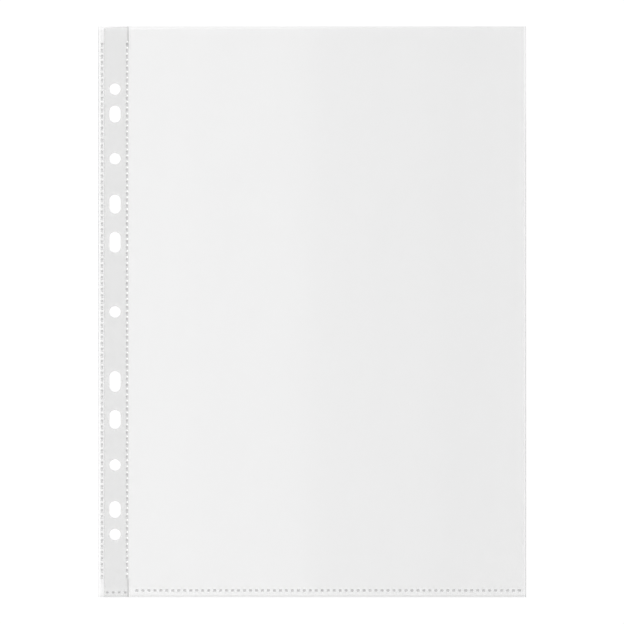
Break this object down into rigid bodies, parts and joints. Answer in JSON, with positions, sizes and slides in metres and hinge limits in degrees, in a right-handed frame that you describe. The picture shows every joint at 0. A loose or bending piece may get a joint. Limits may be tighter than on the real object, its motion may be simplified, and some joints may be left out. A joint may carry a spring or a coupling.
{
  "type": "sheet protector",
  "caption": "Clear punched plastic pocket, open at the top, with a reinforcing strip and a column of round and oblong ring holes along one side for filing a page in a ring binder.",
  "frame": {"origin": "middle of the pocket, on the surface it lies on", "axes": "+Y up the page towards the open mouth, the binding edge at -X and the folded edge at +X, +Z out of the front film"},
  "size_m": [0.2304, 0.3076, 0.0005],
  "materials": {
    "film": "clear polypropylene film with a fine embossed grain",
    "strip": "milky polypropylene strip, satin",
    "weld": "fused film, dished by the welding wheel"
  },
  "bodies": {
    "pocket": {"back_sheet": "film", "side_fold": "film", "front_hem": "film", "bottom_weld": "weld"},
    "front": {"front_sheet": "film"},
    "margin": {"back_margin": "film", "punch_strip": "strip", "front_margin": "film", "outer_weld": "weld", "inner_weld": "weld", "strip_foot_weld": "weld"}
  },
  "joints": [
    {"name": "margin_bend", "type": "hinge", "parent": "pocket", "child": "margin", "pos_m": [-0.0983, 0, 0.00025], "axis": [0, 1, 0], "range_deg": [0, 90]},
    {"name": "mouth_open", "type": "hinge", "parent": "pocket", "child": "front", "pos_m": [0, -0.14835, 0.00044], "axis": [1, 0, 0], "range_deg": [0, 4]}
  ]
}
